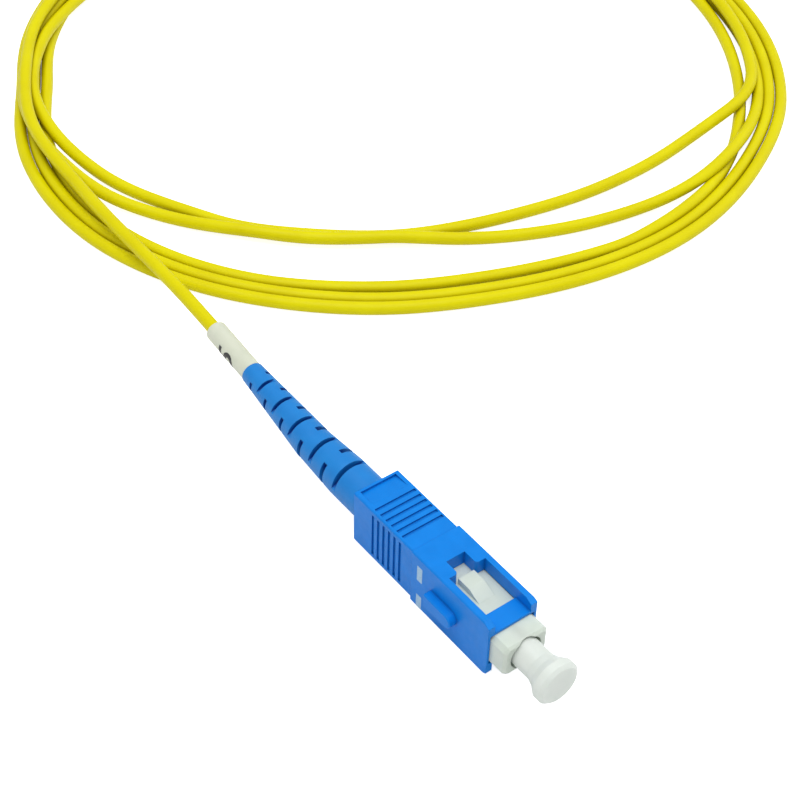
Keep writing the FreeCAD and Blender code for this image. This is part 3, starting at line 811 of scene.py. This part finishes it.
@dataclass
class CoiledLead:
    """The lead: out of the boot, over its own coil, then round in loose flat turns.

    A place on the coil is given as the turns made so far, from the coil's left side. Every turn
    has the same outline, a pitch wider than the turn before. The first three turns stray from
    it: two of them bow in near the plug and climb on the others at the left, and the second
    lies over the third at the right. A turn rests on the turns after it, but in the bow the
    second turn leans on the first.
    """

    diameter_mm: float = 2.0
    length_mm: float = 2060.0
    first_run_mm: float = 14.0
    route_mm: tuple[Point, ...] = (
        (2.7, 80.0, -0.02),
        (2.8, 91.0, -0.04),
        (3.0, 101.0, -0.04),
    )
    centre_mm: tuple[float, float] = (65.6, 110.25)
    pitch_mm: float = 2.05
    outline_mm: tuple[Station, ...] = (
        (0.0, 55.3), (0.03, 54.2), (0.06, 52.5), (0.08, 51.5), (0.12, 52.7), (0.25, 55.8),
        (0.5, 58.0), (0.62, 57.1), (0.67, 55.5), (0.73, 54.8), (0.79, 53.5), (0.82, 53.3),
        (0.85, 54.0), (0.89, 54.9), (0.93, 55.9), (0.97, 56.1), (1.0, 55.3))
    strays_mm: tuple[Station, ...] = (
        (0.0, 6.3), (0.08, 9.2), (0.25, 3.2), (0.61, 3.2), (0.63, 2.0), (0.65, -1.5),
        (0.68, -5.3), (0.72, -8.5), (0.77, -9.8), (0.83, -8.9), (0.89, -8.4), (0.93, -6.9),
        (0.96, -5.9), (1.0, -1.7), (1.06, 5.3), (1.08, 6.3), (1.15, 2.6), (1.25, 0.0),
        (1.4, 0.0), (1.56, 1.9), (1.61, 2.2), (1.65, 2.2), (1.67, 1.9), (1.69, 1.1),
        (1.7, 0.2), (1.72, -1.9), (1.74, -4.1), (1.84, -9.1), (1.88, -8.9), (1.91, -8.1),
        (1.93, -7.25), (1.96, -5.2), (1.98, -2.1), (2.0, 0.3), (2.06, 5.2), (2.08, 5.9),
        (2.15, 2.6), (2.25, 0.0), (2.4, 0.0), (2.56, -2.9), (2.61, -3.1), (2.64, -2.2),
        (2.67, -0.5), (2.7, 0.2), (2.74, 0.2), (2.78, -0.6), (2.86, -0.6), (2.9, 0.0))
    last_turn: float = 5.25
    points_a_turn: int = 60
    squeeze_mm: float = 0.1
    steepest: float = 0.1
    leaning: Span = (1.75, 1.97)
    settling_rounds: int = 4
    spline_order: int = 3
    steps_a_point: int = 4
    round_steps: int = 4

    def radius_mm(self, turns: float) -> float:
        """How far the lead is from the coil's middle, in millimetres.

        Args:
            turns: How many turns the lead has made.

        Returns:
            The distance.
        """
        return (through(self.outline_mm, turns % 1.0) + self.pitch_mm * turns
                + through(self.strays_mm, turns))

    def beneath(self, index: int, count: int) -> list[int]:
        """The points of other turns that the lead can lie on.

        Args:
            index: A point of the coil.
            count: How many points the coil has.

        Returns:
            The points at the same angle on the turns after it, or, where the second turn leans
            on the first, on that one too.
        """
        later = list(range(index + self.points_a_turn, count, self.points_a_turn))
        start, end = self.leaning
        if start <= index / self.points_a_turn < end:
            return [index - self.points_a_turn, *later]
        if start <= index / self.points_a_turn + 1 < end:
            return later[1:]
        return later

    def heights_mm(self, radii: list[float]) -> list[float]:
        """How high the lead's middle is where it rests on the floor and on other turns.

        Args:
            radii: The distance from the coil's middle at each point of the coil.

        Returns:
            The height at each point, which changes gently along the lead.
        """
        near = self.diameter_mm - self.squeeze_mm
        flat = FLOOR_MM + self.diameter_mm / 2
        heights = [flat] * len(radii)
        for _ in range(self.settling_rounds):
            for index in reversed(range(len(radii))):
                step = 2 * math.pi * radii[index] / self.points_a_turn * self.steepest
                rests = [flat]
                rests += [heights[beside] - step for beside in (index - 1, index + 1)
                          if 0 <= beside < len(radii)]
                for below in self.beneath(index, len(radii)):
                    apart = min(abs(radii[index] - radii[below]), near)
                    if apart < near:
                        rests.append(heights[below] + math.sqrt(near ** 2 - apart ** 2))
                heights[index] = max(rests)
        return heights

    def coil_points(self) -> list[Vector]:
        """The coil's points in order from the plug, in metres."""
        count = round(self.last_turn * self.points_a_turn) + 1
        places = [index / self.points_a_turn for index in range(count)]
        radii = [self.radius_mm(turns) for turns in places]
        points = []
        for turns, radius, height in zip(places, radii, self.heights_mm(radii)):
            angle = math.radians(180.0 - 360.0 * turns)
            points.append(Vector((self.centre_mm[0] + radius * math.cos(angle),
                                  self.centre_mm[1] + radius * math.sin(angle), height)) * MM)
        return points

    def points(self, tip: Vector, heading: Vector) -> list[Vector]:
        """The control points of the whole lead, in metres.

        Args:
            tip: Where the lead leaves the boot.
            heading: The lead's direction there.

        Returns:
            The points in order from the boot.
        """
        chosen = [tip, tip + heading * (self.first_run_mm * MM)]
        chosen += [Vector(place) * MM for place in self.route_mm]
        return chosen + self.coil_points()

    def build(self, tip: Vector, heading: Vector, sleeve: bpy.types.Object,
              finish: bpy.types.Material) -> bpy.types.Object:
        """Makes the lead.

        Args:
            tip: Where the lead leaves the boot.
            heading: The lead's direction there.
            sleeve: The marker sleeve that lies on the lead; not used.
            finish: The jacket's material.

        Returns:
            The lead as one smooth curve.
        """
        curve = bpy.data.curves.new("coiled_lead", "CURVE")
        curve.dimensions = "3D"
        places = self.points(tip, heading)
        spline = curve.splines.new("NURBS")
        spline.points.add(len(places) - 1)
        for point, place in zip(spline.points, places):
            point.co = (*place, 1.0)
        spline.order_u = self.spline_order
        spline.use_endpoint_u = True
        spline.resolution_u = self.steps_a_point
        curve.bevel_depth = self.diameter_mm / 2 * MM
        curve.bevel_resolution = self.round_steps
        curve.use_fill_caps = True
        lead = bpy.data.objects.new("coiled_lead", curve)
        bpy.context.collection.objects.link(lead)
        curve.materials.append(finish)
        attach(lead, Body.CORE.value)
        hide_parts("cord_lead", "cord_coil")
        LOG.info("made %s from %d points", lead.name, len(places))
        return lead


# ---- the studio -----------------------------------------------------------------------------
@dataclass(frozen=True)
class Lamp:
    """A soft square lamp: where it hangs, the length of its sides, and its watts."""

    name: str
    place: Point
    size: float
    power: float


@dataclass
class Studio:
    """A plain pale floor, soft lamps, and the camera."""

    floor_centre: tuple[float, float] = (0.05, 0.1)
    floor_drop_mm: float = 0.02
    floor_size: float = 4.0
    floor_colour: Colour = srgb(243, 243, 243)
    floor_whiteness: float = 0.8
    lamps: tuple[Lamp, ...] = (Lamp("key_lamp", (-0.08, -0.02, 0.85), 0.7, 5.6),
                               Lamp("fill_lamp", (0.6, -0.1, 0.5), 0.8, 1.4))
    light_strength: float = 0.5
    shown_strength: float = 1.0
    clip: Span = (0.01, 20.0)
    azimuth_deg: float = -38.394
    elevation_deg: float = 43.183
    roll_deg: float = 1.683
    lens: float = 81.33
    target_mm: Point = (14.206, 39.861, 0.0)
    distance_mm: float = 243.35

    def backward(self) -> Vector:
        """The direction from the target to the camera."""
        azimuth, elevation = math.radians(self.azimuth_deg), math.radians(self.elevation_deg)
        return Vector((math.sin(azimuth) * math.cos(elevation),
                       -math.cos(azimuth) * math.cos(elevation), math.sin(elevation)))

    def camera(self) -> bpy.types.Object:
        """Makes the scene's camera."""
        back = self.backward()
        right = Vector((0.0, 0.0, 1.0)).cross(back).normalized()
        up = back.cross(right)
        roll = math.radians(self.roll_deg)
        turned_right = right * math.cos(roll) + up * math.sin(roll)
        turned_up = up * math.cos(roll) - right * math.sin(roll)
        data = bpy.data.cameras.new("camera")
        data.lens = self.lens
        data.clip_start, data.clip_end = self.clip
        camera = bpy.data.objects.new("camera", data)
        bpy.context.collection.objects.link(camera)
        place = Vector(self.target_mm) * MM + back * (self.distance_mm * MM)
        turn = Matrix((turned_right, turned_up, back)).transposed().to_4x4()
        camera.matrix_world = Matrix.Translation(place) @ turn
        bpy.context.scene.camera = camera
        return camera

    def floor(self) -> bpy.types.Object:
        """Makes the floor that the plug lies on."""
        deselect()
        height = (FLOOR_MM - self.floor_drop_mm) * MM
        bpy.ops.mesh.primitive_plane_add(size=self.floor_size,
                                         location=(*self.floor_centre, height))
        floor = bpy.context.object
        floor.name = "floor"
        settle(floor)
        bench = ShaderBench("floor")
        bench.fixed(Base_Color=(*self.floor_colour, 1.0), Roughness=0.9,
                    Specular_IOR_Level=0.1)
        path = bench.add("ShaderNodeLightPath")
        bench.drive("Emission Strength",
                    bench.ranged(path.outputs["Is Camera Ray"], 0.0, self.floor_whiteness))
        bench.fixed(Emission_Color=WHITE)
        dress(floor, bench.material)
        return floor

    def hang(self, lamp: Lamp) -> bpy.types.Object:
        """Hangs a lamp that points at the plug.

        Args:
            lamp: The lamp.

        Returns:
            Its object.
        """
        data = bpy.data.lights.new(lamp.name, "AREA")
        data.size = lamp.size
        data.energy = lamp.power
        hung = bpy.data.objects.new(lamp.name, data)
        bpy.context.collection.objects.link(hung)
        hung.location = lamp.place
        away = Vector(lamp.place) - Vector(self.target_mm) * MM
        hung.rotation_euler = away.to_track_quat("Z", "Y").to_euler()
        return hung

    def world(self) -> None:
        """Lights the scene evenly, and shows white behind it."""
        world = bpy.data.worlds.new("studio")
        bpy.context.scene.world = world
        world.use_nodes = True
        tree = world.node_tree
        tree.nodes.clear()
        output = tree.nodes.new("ShaderNodeOutputWorld")
        mix = tree.nodes.new("ShaderNodeMixShader")
        path = tree.nodes.new("ShaderNodeLightPath")
        for index, strength in zip(MIX_SHADERS_IN, (self.light_strength, self.shown_strength)):
            background = tree.nodes.new("ShaderNodeBackground")
            background.inputs["Color"].default_value = WHITE
            background.inputs["Strength"].default_value = strength
            tree.links.new(background.outputs["Background"], mix.inputs[index])
        tree.links.new(path.outputs["Is Camera Ray"], mix.inputs["Fac"])
        tree.links.new(mix.outputs["Shader"], output.inputs["Surface"])

    def build(self) -> None:
        """Makes the whole studio."""
        self.camera()
        self.floor()
        for lamp in self.lamps:
            self.hang(lamp)
        self.world()
        bpy.context.scene.view_settings.view_transform = "Standard"
        LOG.info("made the studio")


def end_of_boot() -> tuple[Vector, Vector]:
    """Where the lead leaves the boot, and which way it points.

    Returns:
        The middle of the boot's tip, and the lead's heading there.
    """
    bend = math.radians(BOOT_BEND_DEG)
    heading = Vector((math.sin(bend), math.cos(bend), 0.0))
    reach = BOOT_TIP_PLACE_MM - BOOT_BEND_PLACE_MM
    tip = Vector((0.0, BOOT_BEND_PLACE_MM, 0.0)) * MM + heading * (reach * MM)
    return tip, heading


def main() -> None:
    """Builds every piece in order."""
    logging.basicConfig(level=logging.INFO, format="%(message)s")
    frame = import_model()
    nodes = frame["nodes"]
    Studio().build()
    finishes = PlugFinishes()
    tip, heading = end_of_boot()
    CoiledLead().build(tip, heading, nodes["marker_sleeve"], finishes.material(JACKET_YELLOW))
    finishes.apply(nodes)
    floating = next(joint for joint in frame["joints"] if joint["name"] == "ferrule_float")
    FloatSpring().build(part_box("ferrule_spring"), floating["range_m"][1],
                        finishes.material(SPRING_WIRE))
    KeyFaceStripes().build(KEY_FACE_MM * MM, finishes.material(INK_WHITE))
    SleeveDigit().build(tip, heading, finishes.material(INK_BLACK))


if __name__ == "__main__":
    main()
